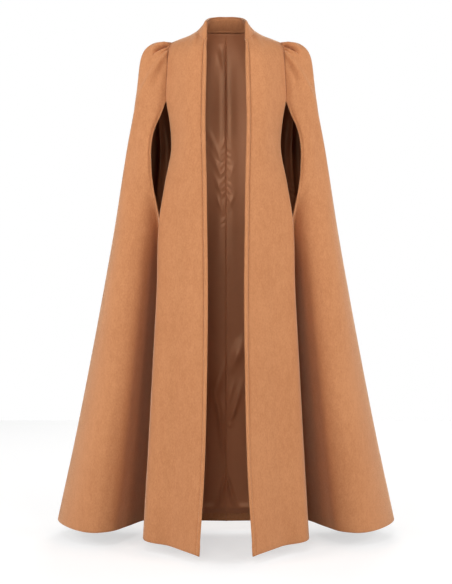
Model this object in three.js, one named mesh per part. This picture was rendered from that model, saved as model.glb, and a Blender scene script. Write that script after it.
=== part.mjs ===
// A floor-length, open-front wool cape coat that keeps the hollow form of its wearer.
// Millimetres, +Z up. The front faces -Y and the wearer's left is +X. The origin is the middle of the
// shoulder line, level with the two neck points, where the wearer's shoulders carry the garment.
// Every panel is a wall of cloth: a grid of points on its outer face, moved in along its normals.
import * as THREE from "three";

const woolThickness = 2.5;
const seamGap = 0.3;
const bandWidth = 12;
const bandRise = 0.9;
const liningDepth = 5;
const liningThickness = 1;
const liningAboveHem = 26;
const facingDepth = 2.8;
const facingThickness = 2;
const hemZ = -1468;
const chestZ = -110;
const hemLiftStartZ = -1000;

const woolColour = 0xcd8c5c;
const liningColour = 0x7c4f35;
const wool = () => new THREE.MeshStandardMaterial({ color: woolColour, roughness: 0.92, metalness: 0 });
const satin = () => new THREE.MeshStandardMaterial({ color: liningColour, roughness: 0.42, metalness: 0 });

// Heights of the level rows, from the hem to the chest. The slit runs from -550 to -212.
const rowHeights = [hemZ, -1200, -940, -730, -550, -500, -440, -380, -320, -265, -212, -160, chestZ];
const yokeRows = 5; // rows from the chest to the neckline, shoulder seam or sleeve head

// Half sections of the left front, from the opening edge to the fold at its outer side. The seam
// lies beside and behind that fold by its tuck.
const frontSections = [
  { z: -1468, edgeX: 74, edgeY: -213, midX: 155, midY: -117, foldX: 239, foldY: -10, tuckX: -6, tuckY: 50 },
  { z: -1250, edgeX: 60, edgeY: -198, midX: 142, midY: -124, foldX: 225.5, foldY: -27, tuckX: -5, tuckY: 42 },
  { z: -1000, edgeX: 53, edgeY: -180, midX: 132, midY: -130, foldX: 211, foldY: -46, tuckX: -4, tuckY: 34 },
  { z: -750, edgeX: 50.5, edgeY: -163, midX: 124, midY: -132, foldX: 197, foldY: -62, tuckX: -3, tuckY: 20 },
  { z: -550, edgeX: 52.5, edgeY: -155, midX: 118, midY: -132, foldX: 189, foldY: -72, tuckX: 1, tuckY: 7 },
  { z: -440, edgeX: 54, edgeY: -152, midX: 112, midY: -131, foldX: 171, foldY: -66, tuckX: 2, tuckY: 5 },
  { z: -345, edgeX: 56.5, edgeY: -147, midX: 108, midY: -128, foldX: 154.5, foldY: -60, tuckX: 2, tuckY: 5 },
  { z: -265, edgeX: 57.5, edgeY: -139, midX: 111, midY: -122, foldX: 160.5, foldY: -55, tuckX: 2, tuckY: 5 },
  { z: -212, edgeX: 56.5, edgeY: -129, midX: 114, midY: -114, foldX: 169, foldY: -50, tuckX: 2, tuckY: 3 },
  { z: -110, edgeX: 54.5, edgeY: -103, midX: 112, midY: -92, foldX: 167, foldY: -38, tuckX: 2, tuckY: 3 },
];
const frontColumns = { edge: 0, mid: 0.45, fold: 0.92, seam: 1 };

// How far the cape's edge stands out from the front's along the arm slit, at each height.
const slitSections = [
  { z: -550, open: 0 },
  { z: -503, open: 16 },
  { z: -459, open: 30 },
  { z: -401, open: 47 },
  { z: -357, open: 56 },
  { z: -313, open: 51.5 },
  { z: -284, open: 40.5 },
  { z: -254, open: 22.5 },
  { z: -220, open: 4 },
  { z: -212, open: 0 },
];

// Half sections of the cape from the front seam round the arm to the back seam. The valley is the
// deep fold behind the front's side, the slope and brow climb to the lobe, which is the cape's front
// roll, and the trough runs by the back seam.
const capeSections = [
  {
    z: -1468, valleyX: 246, valleyY: 190, slopeX: 296, slopeY: 82, browX: 332, browY: 6,
    lobeX: 368, lobeY: -10, sideX: 518, sideY: 210, rearX: 420, rearY: 345,
    troughX: 318, troughY: 264, seamX: 268, seamY: 250,
  },
  {
    z: -1250, valleyX: 234, valleyY: 150, slopeX: 275, slopeY: 42, browX: 307, browY: -25,
    lobeX: 340, lobeY: -40, sideX: 467, sideY: 165, rearX: 386, rearY: 298,
    troughX: 294, troughY: 238, seamX: 246, seamY: 224,
  },
  {
    z: -1000, valleyX: 218, valleyY: 98, slopeX: 252, slopeY: 2, browX: 280, browY: -54,
    lobeX: 307, lobeY: -66, sideX: 413, sideY: 114, rearX: 350, rearY: 242,
    troughX: 266, troughY: 206, seamX: 222, seamY: 192,
  },
  {
    z: -750, valleyX: 203, valleyY: 42, slopeX: 232, slopeY: -30, browX: 257, browY: -66,
    lobeX: 284, lobeY: -75, sideX: 361, sideY: 72, rearX: 313, rearY: 188,
    troughX: 240, troughY: 176, seamX: 198, seamY: 160,
  },
  {
    z: -550, valleyX: 199, valleyY: -34, slopeX: 224, slopeY: -56, browX: 241, browY: -64,
    lobeX: 262, lobeY: -67, sideX: 323, sideY: 42, rearX: 284, rearY: 145,
    troughX: 216, troughY: 149, seamX: 176, seamY: 134,
  },
  {
    z: -440, valleyX: 222, valleyY: -67, slopeX: 244, slopeY: -62, browX: 256, browY: -55,
    lobeX: 268, lobeY: -45, sideX: 304, sideY: 29, rearX: 270, rearY: 123,
    troughX: 206, troughY: 136, seamX: 166, seamY: 122,
  },
  {
    z: -345, valleyX: 226, valleyY: -61, slopeX: 242, slopeY: -55, browX: 251, browY: -49,
    lobeX: 260, lobeY: -40, sideX: 288, sideY: 20, rearX: 257, rearY: 106,
    troughX: 200, troughY: 124, seamX: 160, seamY: 112,
  },
  {
    z: -212, valleyX: 194, valleyY: -54, slopeX: 213, slopeY: -52, browX: 223, browY: -49.5,
    lobeX: 234, lobeY: -45, sideX: 263.5, sideY: 10, rearX: 236, rearY: 82,
    troughX: 196, troughY: 104, seamX: 165, seamY: 100,
  },
  {
    z: -110, valleyX: 188, valleyY: -39, slopeX: 202, slopeY: -39, browX: 210, browY: -38,
    lobeX: 218, lobeY: -35.5, sideX: 252, sideY: 5, rearX: 224, rearY: 62,
    troughX: 194, troughY: 82, seamX: 163, seamY: 84,
  },
];
const capeColumns = {
  start: 0, valley: 0.145, slope: 0.255, brow: 0.325, lobe: 0.372, side: 0.63, rear: 0.815, trough: 0.937,
  seam: 1,
};

// Half sections of the back, from the cape seam to the centre back seam.
const backSections = [
  { z: -1468, midX: 138, midY: 238, centreY: 230 },
  { z: -1250, midX: 126, midY: 213, centreY: 204 },
  { z: -1000, midX: 114, midY: 189, centreY: 180 },
  { z: -750, midX: 102, midY: 166, centreY: 158 },
  { z: -550, midX: 92, midY: 148, centreY: 142 },
  { z: -440, midX: 88, midY: 138, centreY: 134 },
  { z: -345, midX: 86, midY: 131, centreY: 128 },
  { z: -212, midX: 88, midY: 121, centreY: 118 },
  { z: -110, midX: 88, midY: 107, centreY: 104 },
];
const backColumns = { seam: 0, mid: 0.5, centre: 1 };

// How far the hem hangs above hemZ at each column.
const frontLift = { edge: -6, mid: -1, fold: 4, seam: 5 };
const capeLift = {
  start: 5, valley: 9, slope: 12, brow: 14.5, lobe: 13.5, side: 12, rear: 8, trough: 3, seam: 0,
};

// The top of each front and back column, and the bend that carries the cloth over the shoulder to it.
const frontYoke = [
  { u: 0, topX: 55.5, topY: -80, topZ: -43, bendX: 55, bendY: -93, bendZ: -80 },
  { u: 0.1, topX: 62, topY: -74, topZ: -38, bendX: 66, bendY: -94, bendZ: -74 },
  { u: 0.2, topX: 72, topY: -56, topZ: -27, bendX: 78, bendY: -92, bendZ: -62 },
  { u: 0.3, topX: 80.5, topY: -29, topZ: -12, bendX: 88, bendY: -86, bendZ: -46 },
  { u: 0.4, topX: 84, topY: 0, topZ: 0, bendX: 94, bendY: -76, bendZ: -30 },
  { u: 0.6, topX: 106, topY: 0, topZ: -13, bendX: 118, bendY: -73, bendZ: -34 },
  { u: 0.8, topX: 131, topY: 0, topZ: -22.5, bendX: 146, bendY: -60, bendZ: -42 },
  { u: 1, topX: 157, topY: 0, topZ: -33, bendX: 172, bendY: -24, bendZ: -50 },
];
const backYoke = [
  { u: 0, topX: 157, topY: 0, topZ: -33, bendX: 168, bendY: 45, bendZ: -45 },
  { u: 0.2, topX: 131, topY: 0, topZ: -22.5, bendX: 138, bendY: 76, bendZ: -40 },
  { u: 0.4, topX: 106, topY: 0, topZ: -13, bendX: 108, bendY: 88, bendZ: -34 },
  { u: 0.6, topX: 84, topY: 0, topZ: 0, bendX: 80, bendY: 92, bendZ: -26 },
  { u: 0.7, topX: 74, topY: 32, topZ: 5, bendX: 64, bendY: 94, bendZ: -22 },
  { u: 0.8, topX: 54, topY: 54, topZ: 8.5, bendX: 46, bendY: 95, bendZ: -18 },
  { u: 0.9, topX: 28, topY: 68, topZ: 10.5, bendX: 24, bendY: 96, bendZ: -16 },
  { u: 1, topX: 0, topY: 72, topZ: 11, bendX: 0, bendY: 96, bendZ: -16 },
];
const neckColumns = 4; // of the ten columns of a front or back, those that end on the neckline
const panelColumns = 10;

// The top of the stand collar along the half neckline, from its front end to the centre back.
const collarSections = [
  { along: 0, topX: 57, topY: -62, topZ: 14, bendX: 56, bendY: -73, bendZ: -14 },
  { along: 0.15, topX: 60, topY: -54, topZ: 16, bendX: 63, bendY: -66, bendZ: -8 },
  { along: 0.3, topX: 60.5, topY: -38, topZ: 21, bendX: 68, bendY: -46, bendZ: 0 },
  { along: 0.45, topX: 56.5, topY: -12, topZ: 31, bendX: 67, bendY: -12, bendZ: 13 },
  { along: 0.6, topX: 51.5, topY: 16, topZ: 41, bendX: 63, bendY: 20, bendZ: 20 },
  { along: 0.75, topX: 43, topY: 40, topZ: 49, bendX: 48, bendY: 42, bendZ: 26 },
  { along: 0.88, topX: 24, topY: 55, topZ: 54, bendX: 26, bendY: 56, bendZ: 29 },
  { along: 1, topX: 0, topY: 60, topZ: 55, bendX: 0, bendY: 62, bendZ: 30 },
];
const collarRows = 3;

// The cape's columns: the first half of them end on the front of the armhole, the rest on its back.
const capeColumnPlaces = [
  0, 0.075, 0.14, 0.195, 0.255, 0.32, 0.38, 0.44, 0.51, 0.57, 0.63, 0.69, 0.75, 0.81, 0.87, 0.93, 1,
];
const shoulderColumn = 8;
const headSpread = 0.78; // how far out the sleeve head reaches before it turns down, of its width
const headRise = 0.05; // how high it puffs, of its width
const headShoulder = 0.8; // how far up the arm's line carries on, of the way to the armhole

// Pleats and the ridge in the cape's head: each runs between two places, by column and by height,
// where heights above 1 are in the head and those from 0 to 1 run from the hem to the chest.
const capeFolds = [
  { name: "front pleat", fromU: 0.4, fromV: 1.9, toU: 0.45, toV: 1.3, width: 0.045, depth: -9 },
  { name: "top pleat", fromU: 0.53, fromV: 1.9, toU: 0.56, toV: 1.55, width: 0.04, depth: -6 },
  { name: "rear pleat", fromU: 0.63, fromV: 1.9, toU: 0.66, toV: 1.4, width: 0.045, depth: -8 },
  { name: "front ridge", fromU: 0.26, fromV: 1.5, toU: 0.52, toV: 0.93, width: 0.06, depth: 7 },
];

// A smooth value at a place between knots, which are in rising order.
function smoothThrough(knots, values, at) {
  const last = knots.length - 1;
  const x = Math.min(Math.max(at, knots[0]), knots[last]);
  let i = 0;
  while (i < last - 1 && x > knots[i + 1]) i += 1;
  const slope = (k) => (values[k + 1] - values[k]) / (knots[k + 1] - knots[k]);
  const tangent = (k) => {
    if (k === 0) return slope(0);
    if (k === last) return slope(last - 1);
    const before = knots[k] - knots[k - 1];
    const after = knots[k + 1] - knots[k];
    return (slope(k - 1) * after + slope(k) * before) / (before + after);
  };
  const step = knots[i + 1] - knots[i];
  const t = (x - knots[i]) / step;
  const rise = t * t * (3 - 2 * t);
  const startPull = t * (1 - t) * (1 - t) * step;
  const endPull = t * t * (t - 1) * step;
  return values[i] * (1 - rise) + values[i + 1] * rise + tangent(i) * startPull + tangent(i + 1) * endPull;
}

// One column of a table at a place along it, smooth or straight between its rows.
function tableAt(table, key, column, at) {
  return smoothThrough(table.map((row) => row[key]), table.map((row) => row[column]), at);
}
function straightAt(table, key, column, at) {
  const i = Math.max(1, table.findIndex((row) => row[key] >= at - 1e-9));
  const share = (at - table[i - 1][key]) / (table[i][key] - table[i - 1][key]);
  return table[i - 1][column] * (1 - share) + table[i][column] * share;
}

const smoothStep = (low, high, x) => THREE.MathUtils.smoothstep(x, low, high);
const hemShare = (z) => 1 - smoothStep(hemZ, hemLiftStartZ, z);

// A point of a section whose named places each have a u, an x and a y, with the hem's lift there.
function sectionPoint(places, points, lifts, u, z) {
  const names = Object.keys(places);
  const knots = names.map((name) => places[name]);
  const lift = lifts ? smoothThrough(knots, names.map((name) => lifts[name]), u) : 0;
  return new THREE.Vector3(
    smoothThrough(knots, names.map((name) => points[name][0]), u),
    smoothThrough(knots, names.map((name) => points[name][1]), u),
    z + lift * hemShare(z),
  );
}

function frontPoint(u, z) {
  const at = (column) => tableAt(frontSections, "z", column, z);
  const points = {
    edge: [at("edgeX"), at("edgeY")],
    mid: [at("midX"), at("midY")],
    fold: [at("foldX"), at("foldY")],
    seam: [at("foldX") + at("tuckX"), at("foldY") + at("tuckY")],
  };
  return sectionPoint(frontColumns, points, frontLift, u, z);
}

function capePoint(u, z) {
  const at = (column) => tableAt(capeSections, "z", column, z);
  const inSlit = z > slitSections[0].z && z < slitSections[slitSections.length - 1].z;
  const start = frontPoint(1, z);
  const points = {
    start: [start.x + (inSlit ? tableAt(slitSections, "z", "open", z) : 0), start.y],
    valley: [at("valleyX"), at("valleyY")],
    slope: [at("slopeX"), at("slopeY")],
    brow: [at("browX"), at("browY")],
    lobe: [at("lobeX"), at("lobeY")],
    side: [at("sideX"), at("sideY")],
    rear: [at("rearX"), at("rearY")],
    trough: [at("troughX"), at("troughY")],
    seam: [at("seamX"), at("seamY")],
  };
  return sectionPoint(capeColumns, points, capeLift, u, z);
}

function backPoint(u, z) {
  const at = (column) => tableAt(backSections, "z", column, z);
  const points = {
    seam: [tableAt(capeSections, "z", "seamX", z), tableAt(capeSections, "z", "seamY", z)],
    mid: [at("midX"), at("midY")],
    centre: [0, at("centreY")],
  };
  return sectionPoint(backColumns, points, null, u, z);
}

// The point a share of the way along the bent line from low over bend to high.
function bentLine(low, bend, high, share) {
  return new THREE.QuadraticBezierCurve3(low, bend, high).getPoint(share);
}

// The tables run from the hem up, so their rows are put in rising order of height.
for (const table of [frontSections, slitSections, capeSections, backSections]) {
  table.sort((a, b) => a.z - b.z);
}

const vertex = (point) => ({ point, normal: new THREE.Vector3() });

// A grid of the rows from the hem to the chest and over the shoulder, at the given columns.
function panelGrid(columns, pointAt, yoke) {
  const level = rowHeights.map((z) => columns.map((column) => vertex(pointAt(column.u(z), z))));
  const over = [];
  for (let row = 1; row <= yokeRows; row += 1) {
    over.push(columns.map((column) => {
      const along = column.yokeU;
      const at = (name) => straightAt(yoke, "u", name, along);
      const low = pointAt(column.u(chestZ), chestZ);
      const bend = new THREE.Vector3(at("bendX"), at("bendY"), at("bendZ"));
      const high = new THREE.Vector3(at("topX"), at("topY"), at("topZ"));
      return vertex(bentLine(low, bend, high, row / yokeRows));
    }));
  }
  return [...level, ...over];
}

// The band's inner line lies one band width from the opening edge.
function bandU(z) {
  const reach = frontPoint(0, z).distanceTo(frontPoint(0.02, z)) / 0.02;
  return bandWidth / reach;
}
const bandYokeU = 0.07;

function frontGrids() {
  const line = { u: bandU, yokeU: bandYokeU };
  const panel = [line];
  for (let j = 1; j <= panelColumns; j += 1) {
    const share = j / panelColumns;
    panel.push({ u: (z) => Math.max(share, bandU(z) + 0.03), yokeU: share });
  }
  const band = [{ u: () => 0, yokeU: 0 }, line];
  return { front: panelGrid(panel, frontPoint, frontYoke), band: panelGrid(band, frontPoint, frontYoke) };
}

function backGrid() {
  const columns = [];
  for (let j = 0; j <= panelColumns; j += 1) {
    columns.push({ u: () => j / panelColumns, yokeU: j / panelColumns });
  }
  return panelGrid(columns, backPoint, backYoke);
}

// A place on a line of vertices, a share of the way along it.
function alongLine(line, share) {
  const place = share * (line.length - 1);
  const i = Math.min(Math.floor(place), line.length - 2);
  return line[i].point.clone().lerp(line[i + 1].point, place - i);
}

// The cape: level rows round the arm, then the puffed head that is pleated into the armhole.
function capeGrid(frontArmhole, backArmhole) {
  const level = rowHeights.map((z) => capeColumnPlaces.map((u) => vertex(capePoint(u, z))));
  const lowShare = 1 / yokeRows;
  const head = [];
  for (let row = 1; row <= yokeRows; row += 1) {
    const share = row / yokeRows;
    head.push(capeColumnPlaces.map((u, j) => {
      const inFront = j <= shoulderColumn;
      const halfShare = inFront ? j / shoulderColumn : (capeColumnPlaces.length - 1 - j) / shoulderColumn;
      const armhole = inFront ? frontArmhole : backArmhole;
      if (halfShare === 0) return vertex(alongLine(armhole, share * lowShare));
      const top = alongLine(armhole, lowShare + (1 - lowShare) * halfShare);
      const low = capePoint(u, chestZ);
      const under = capePoint(u, chestZ - 20);
      const climb = low.clone().sub(under).multiplyScalar((headShoulder * (top.z - low.z)) / 20);
      const out = low.clone().sub(top).setZ(0);
      const crown = top.clone().addScaledVector(out, headSpread);
      crown.z += headRise * out.length();
      return vertex(new THREE.CubicBezierCurve3(low, low.clone().add(climb), crown, top).getPoint(share));
    }));
  }
  return [...level, ...head];
}

// Each vertex's normal, from its neighbours in the grid. Columns run from the front to the back.
function setNormals(grid) {
  const rows = grid.length - 1;
  const columns = grid[0].length - 1;
  const way = (before, here, after) => {
    const out = after.clone().sub(here).normalize();
    return out.add(here.clone().sub(before).normalize());
  };
  grid.forEach((row, i) => row.forEach((v, j) => {
    const across = way(row[Math.max(j - 1, 0)].point, v.point, row[Math.min(j + 1, columns)].point);
    const up = way(grid[Math.max(i - 1, 0)][j].point, v.point, grid[Math.min(i + 1, rows)][j].point);
    v.normal.crossVectors(across, up).normalize();
  }));
}

// Where panels are sewn together, their vertices lie in one place and share one normal.
const placeName = (v) => v.point.toArray().map((x) => (Math.round(x * 50) + 0).toString()).join(" ");
function joinedVertices(grids) {
  const places = new Map();
  for (const v of grids.flat(2)) {
    const name = placeName(v);
    if (!places.has(name)) places.set(name, []);
    places.get(name).push(v);
  }
  return places;
}
function setJoinedNormal(places, v, normal) {
  const shared = normal.clone().normalize();
  if (Math.abs(v.point.x) < 0.01) shared.setX(0).normalize();
  places.get(placeName(v)).forEach((each) => each.normal.copy(shared));
}

// Evens out the normals along a seam, so that the walls on its two sides twist alike.
function smoothSeam(places, line, times) {
  for (let n = 0; n < times; n += 1) {
    const even = line.map((v, k) => {
      const before = line[Math.max(k - 1, 0)].normal;
      const after = line[Math.min(k + 1, line.length - 1)].normal;
      return v.normal.clone().multiplyScalar(2).add(before).add(after);
    });
    line.forEach((v, k) => setJoinedNormal(places, v, even[k]));
  }
}

// Moves the cape's head down into its pleats and up onto its ridge.
function pressFolds(grid) {
  setNormals(grid);
  const chestRow = rowHeights.length - 1;
  grid.forEach((row, i) => row.forEach((v, j) => {
    if (i === grid.length - 1 || j === 0 || j === row.length - 1) return;
    const height = i <= chestRow
      ? (rowHeights[i] - hemZ) / (chestZ - hemZ)
      : 1 + (i - chestRow) / yokeRows;
    const move = capeFolds.reduce((sum, fold) => {
      const run = (height - fold.fromV) / (fold.toV - fold.fromV);
      const fade = smoothStep(-0.3, 0.15, run) * (1 - smoothStep(0.7, 1.25, run));
      const away = (capeColumnPlaces[j] - THREE.MathUtils.lerp(fold.fromU, fold.toU, run)) / fold.width;
      return sum + fold.depth * fade * Math.exp(-away * away);
    }, 0);
    v.point.addScaledVector(v.normal, move);
  }));
}

const column = (grid, j) => grid.map((row) => row.at(j));
const lastRow = (grid) => grid[grid.length - 1];

const { front, band } = frontGrids();
const back = backGrid();
const chestRow = rowHeights.length - 1;
const frontArmhole = column(front, -1).slice(chestRow);
const backArmhole = column(back, 0).slice(chestRow);
const cape = capeGrid(frontArmhole, backArmhole);
pressFolds(cape);

// The collar stands on the neckline, from the front end to the centre back.
function collarGrid(neckline) {
  const reach = [0];
  neckline.slice(1).forEach((v, k) => reach.push(reach[k] + v.point.distanceTo(neckline[k].point)));
  const rows = [];
  for (let row = 0; row <= collarRows; row += 1) {
    rows.push(neckline.map((v, k) => {
      const along = reach[k] / reach[reach.length - 1];
      const at = (name) => tableAt(collarSections, "along", name, along);
      const bend = new THREE.Vector3(at("bendX"), at("bendY"), at("bendZ"));
      const top = new THREE.Vector3(at("topX"), at("topY"), at("topZ"));
      return vertex(bentLine(v.point, bend, top, row / collarRows));
    }));
  }
  return rows;
}
const frontNeck = lastRow(front).slice(0, neckColumns + 1);
const backNeck = lastRow(back).slice(panelColumns - neckColumns);
const collar = collarGrid([lastRow(band)[0], ...frontNeck, ...backNeck.slice(1)]);

const panels = [front, band, back, cape, collar];
panels.forEach(setNormals);
const places = joinedVertices(panels);
for (const same of places.values()) {
  setJoinedNormal(places, same[0], same.reduce((sum, v) => sum.add(v.normal), new THREE.Vector3()));
}
smoothSeam(places, collar[0], 4);
smoothSeam(places, [...frontArmhole, ...backArmhole.slice(0, -1).reverse()], 4);

// Along the armhole the cape has more vertices than the front or back, and those between take a
// share of the normals on either side.
function shareArmhole(armhole, headEdge, capeSide) {
  for (let k = 1; k < headEdge.length; k += 2) {
    headEdge[k].normal.copy(headEdge[k - 1].normal).add(headEdge[k + 1].normal).normalize();
  }
  for (let k = 1; k < yokeRows; k += 1) {
    capeSide[k].normal.copy(armhole[0].normal).lerp(armhole[1].normal, k / yokeRows).normalize();
  }
}
shareArmhole(frontArmhole, lastRow(cape).slice(0, shoulderColumn + 1), column(cape, 0).slice(chestRow));
shareArmhole(backArmhole, lastRow(cape).slice(shoulderColumn).reverse(), column(cape, -1).slice(chestRow));

// A copy of a grid with its borders drawn in, square to themselves, by half of the gap at seams.
function trimmed(grid) {
  const rows = grid.length - 1;
  const columns = grid[0].length - 1;
  const squareTo = (from, to, before, after) => {
    const line = after.point.clone().sub(before.point).normalize();
    const way = to.point.clone().sub(from.point);
    return way.addScaledVector(line, -way.dot(line)).normalize();
  };
  return grid.map((row, i) => row.map((v, j) => {
    const point = v.point.clone();
    if (i === 0 || i === rows) {
      const inward = grid[i === 0 ? 1 : rows - 1][j];
      const way = squareTo(v, inward, row[Math.max(j - 1, 0)], row[Math.min(j + 1, columns)]);
      point.addScaledVector(way, seamGap / 2);
    }
    if (j === 0 || j === columns) {
      const inward = row[j === 0 ? 1 : columns - 1];
      const way = squareTo(v, inward, grid[Math.max(i - 1, 0)][j], grid[Math.min(i + 1, rows)][j]);
      point.addScaledVector(way, seamGap / 2);
    }
    return { point, normal: v.normal };
  }));
}

// The closed wall of a grid between two depths under its outer face. side is 1 or -1, its mirror.
function wall(grid, outerDepth, innerDepth, side) {
  const rows = grid.length;
  const columns = grid[0].length;
  const positions = [];
  for (const depth of [outerDepth, innerDepth]) {
    grid.forEach((row) => row.forEach((v) => {
      const p = v.point.clone().addScaledVector(v.normal, -depth);
      positions.push(p.x * side, p.y, p.z);
    }));
  }
  const faces = [];
  const face = (a, b, c) => faces.push(...(side > 0 ? [a, b, c] : [a, c, b]));
  const quad = (a, b, c, d) => {
    face(a, b, c);
    face(a, c, d);
  };
  const outer = (i, j) => i * columns + j;
  const inner = (i, j) => rows * columns + i * columns + j;
  for (let i = 0; i < rows - 1; i += 1) {
    for (let j = 0; j < columns - 1; j += 1) {
      quad(outer(i, j), outer(i, j + 1), outer(i + 1, j + 1), outer(i + 1, j));
      face(inner(i, j), inner(i + 1, j + 1), inner(i, j + 1));
      face(inner(i, j), inner(i + 1, j), inner(i + 1, j + 1));
    }
  }
  for (let j = 0; j < columns - 1; j += 1) {
    const top = rows - 1;
    quad(outer(0, j), inner(0, j), inner(0, j + 1), outer(0, j + 1));
    quad(outer(top, j), outer(top, j + 1), inner(top, j + 1), inner(top, j));
  }
  for (let i = 0; i < rows - 1; i += 1) {
    const end = columns - 1;
    quad(outer(i, 0), outer(i + 1, 0), inner(i + 1, 0), inner(i, 0));
    quad(outer(i, end), inner(i, end), inner(i + 1, end), outer(i + 1, end));
  }
  const geometry = new THREE.BufferGeometry();
  geometry.setAttribute("position", new THREE.Float32BufferAttribute(positions, 3));
  geometry.setIndex(faces);
  geometry.computeVertexNormals();
  return geometry;
}

// The lining follows the given columns of the wool, with its lower edge above the hem.
function liningGrid(grid, columnsKept) {
  const lifted = grid[0].map((v, j) => {
    const share = liningAboveHem / (grid[1][j].point.z - v.point.z);
    return { point: v.point.clone().lerp(grid[1][j].point, share), normal: v.normal };
  });
  return [lifted, ...grid.slice(1)].map((row) => columnsKept.map((j) => row[j]));
}
const capeLining = liningGrid(cape, capeColumnPlaces.map((_, j) => j).slice(1));
const backLining = liningGrid(back, [0, 2, 4, 6, 8, 10]);

// A collar piece is one length round the neck: the half grid and its mirror.
function wholeNeck(half) {
  const mirrored = (v) => ({
    point: v.point.clone().multiply(new THREE.Vector3(-1, 1, 1)),
    normal: v.normal.clone().multiply(new THREE.Vector3(-1, 1, 1)),
  });
  return half.map((row) => [...row, ...row.slice(0, -1).reverse().map(mirrored)]);
}

const cape_coat = new THREE.Group();
function add(name, grid, outerDepth, innerDepth, side, material) {
  const mesh = new THREE.Mesh(wall(trimmed(grid), outerDepth, innerDepth, side), material);
  mesh.name = name;
  cape_coat.add(mesh);
}
for (const [hand, side] of [["left", 1], ["right", -1]]) {
  add(`front_${hand}`, front, 0, woolThickness, side, wool());
  add(`front_band_${hand}`, band, -bandRise, woolThickness, side, wool());
  add(`cape_${hand}`, cape, 0, woolThickness, side, wool());
  add(`back_${hand}`, back, 0, woolThickness, side, wool());
  add(`lining_cape_${hand}`, capeLining, liningDepth, liningDepth + liningThickness, side, satin());
  add(`lining_back_${hand}`, backLining, liningDepth, liningDepth + liningThickness, side, satin());
}
add("collar", wholeNeck(collar), 0, woolThickness, 1, wool());
add("collar_facing", wholeNeck(collar), facingDepth, facingDepth + facingThickness, 1, wool());

export default cape_coat;
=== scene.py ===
import math

import bpy
import numpy as np
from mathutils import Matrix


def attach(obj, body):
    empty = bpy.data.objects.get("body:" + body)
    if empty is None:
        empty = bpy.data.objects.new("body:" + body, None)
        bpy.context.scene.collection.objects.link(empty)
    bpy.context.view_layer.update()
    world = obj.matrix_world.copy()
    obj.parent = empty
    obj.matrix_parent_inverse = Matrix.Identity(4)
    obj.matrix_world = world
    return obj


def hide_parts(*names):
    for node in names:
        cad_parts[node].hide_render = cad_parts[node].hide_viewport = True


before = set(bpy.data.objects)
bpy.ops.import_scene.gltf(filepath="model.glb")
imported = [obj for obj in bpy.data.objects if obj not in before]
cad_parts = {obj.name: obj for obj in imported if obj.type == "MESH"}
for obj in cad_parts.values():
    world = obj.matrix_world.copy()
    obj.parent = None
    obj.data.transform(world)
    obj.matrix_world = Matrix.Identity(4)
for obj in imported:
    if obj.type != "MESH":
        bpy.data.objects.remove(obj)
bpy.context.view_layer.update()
scene = bpy.context.scene
mm = 0.001
tiny = 1e-9

# Every table is in millimetres in the CAD frame: the front faces -Y, and the wearer's left is +X.
# The left half is made, and the right half mirrors it.

garment = {
    "hem": -1468,
    "chest": -110,
    "hemLiftStart": -1000,
    "slitBottom": -550,
    "slitTop": -212,
    "lowerRows": 72,
    "slitRows": 58,
    "chestRows": 18,
    "yokeRows": 104,  # from the chest to the shoulder, on the fronts and the back
    "headRows": 44,  # those of them that run beside the start of the cape's head
    "climb": 0.42,  # how far a yoke goes on upwards before it bends over the shoulder
    "pastBend": 0.25,
    "woolThickness": 2.5,
    "hemTurning": 1.6,  # how much thicker the turned hem is
    "hemTurningHeight": 30,
    "hemTurningSlope": 4,
}


# Smooth values between knots in rising order, at many places at once.
def smoothThrough(knots, values, at):
    knots = np.asarray(knots, float)
    values = np.asarray(values, float)
    at = np.clip(np.asarray(at, float), knots[0], knots[-1])
    steps = np.diff(knots)
    extra = (1,) * (values.ndim - 1)
    slopes = np.diff(values, axis=0) / steps.reshape(-1, *extra)
    tangents = np.empty_like(values)
    tangents[0], tangents[-1] = slopes[0], slopes[-1]
    if len(knots) > 2:
        before, after = steps[:-1].reshape(-1, *extra), steps[1:].reshape(-1, *extra)
        tangents[1:-1] = (slopes[:-1] * after + slopes[1:] * before) / (before + after)
    i = np.clip(np.searchsorted(knots, at, side="right") - 1, 0, len(knots) - 2)
    step = steps[i].reshape(-1, *extra)
    t = ((at - knots[i]) / steps[i]).reshape(-1, *extra)
    rise = t * t * (3 - 2 * t)
    pull = t * (1 - t) ** 2 * step * tangents[i] + t * t * (t - 1) * step * tangents[i + 1]
    return values[i] * (1 - rise) + values[i + 1] * rise + pull


def smoothStep(low, high, x):
    t = np.clip((np.asarray(x, float) - low) / (high - low), 0, 1)
    return t * t * (3 - 2 * t)


def hump(x, middle, width):
    return np.exp(-(((np.asarray(x, float) - middle) / width) ** 2))


# How far each point of a grid is from a border of it.
def distances(grid, border):
    return np.linalg.norm(grid - border, axis=2)


def unit(vectors):
    return vectors / np.maximum(np.linalg.norm(vectors, axis=-1, keepdims=True), tiny)


# One named place of a table, read smoothly at many heights or shares.
def placeAt(table, name, where):
    rows = sorted(table, key=lambda row: row["at"])
    return smoothThrough([row["at"] for row in rows], [row[name] for row in rows], where)


# Rows of points from named places, each with its share u of the way across and its lift at the hem.
def surfaceRows(places, points, lift, us, heights):
    names = list(places)
    knots = [places[name] for name in names]
    flat = np.stack([points[name] for name in names])  # place, height, xy
    across = smoothThrough(knots, flat, us)  # u, height, xy
    lifts = smoothThrough(knots, [lift[name] for name in names], us) if lift else np.zeros(len(us))
    hemShare = 1 - smoothStep(garment["hem"], garment["hemLiftStart"], heights)
    z = heights[None, :] + lifts[:, None] * hemShare[None, :]
    return np.concatenate([across, z[..., None]], axis=2).transpose(1, 0, 2)  # height, u, xyz


# A table of rows: a height or a share of the way, then the points of the named places there.
def tableOf(names, rows):
    return [dict(zip(("at", *names), row)) for row in rows]


# A fold along a line of x and z: how far it stands out, and its width, at each point of the line.
def fold(line, depth, width, side=0):
    return {"line": line, "depth": depth, "width": width, "side": side}


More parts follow.
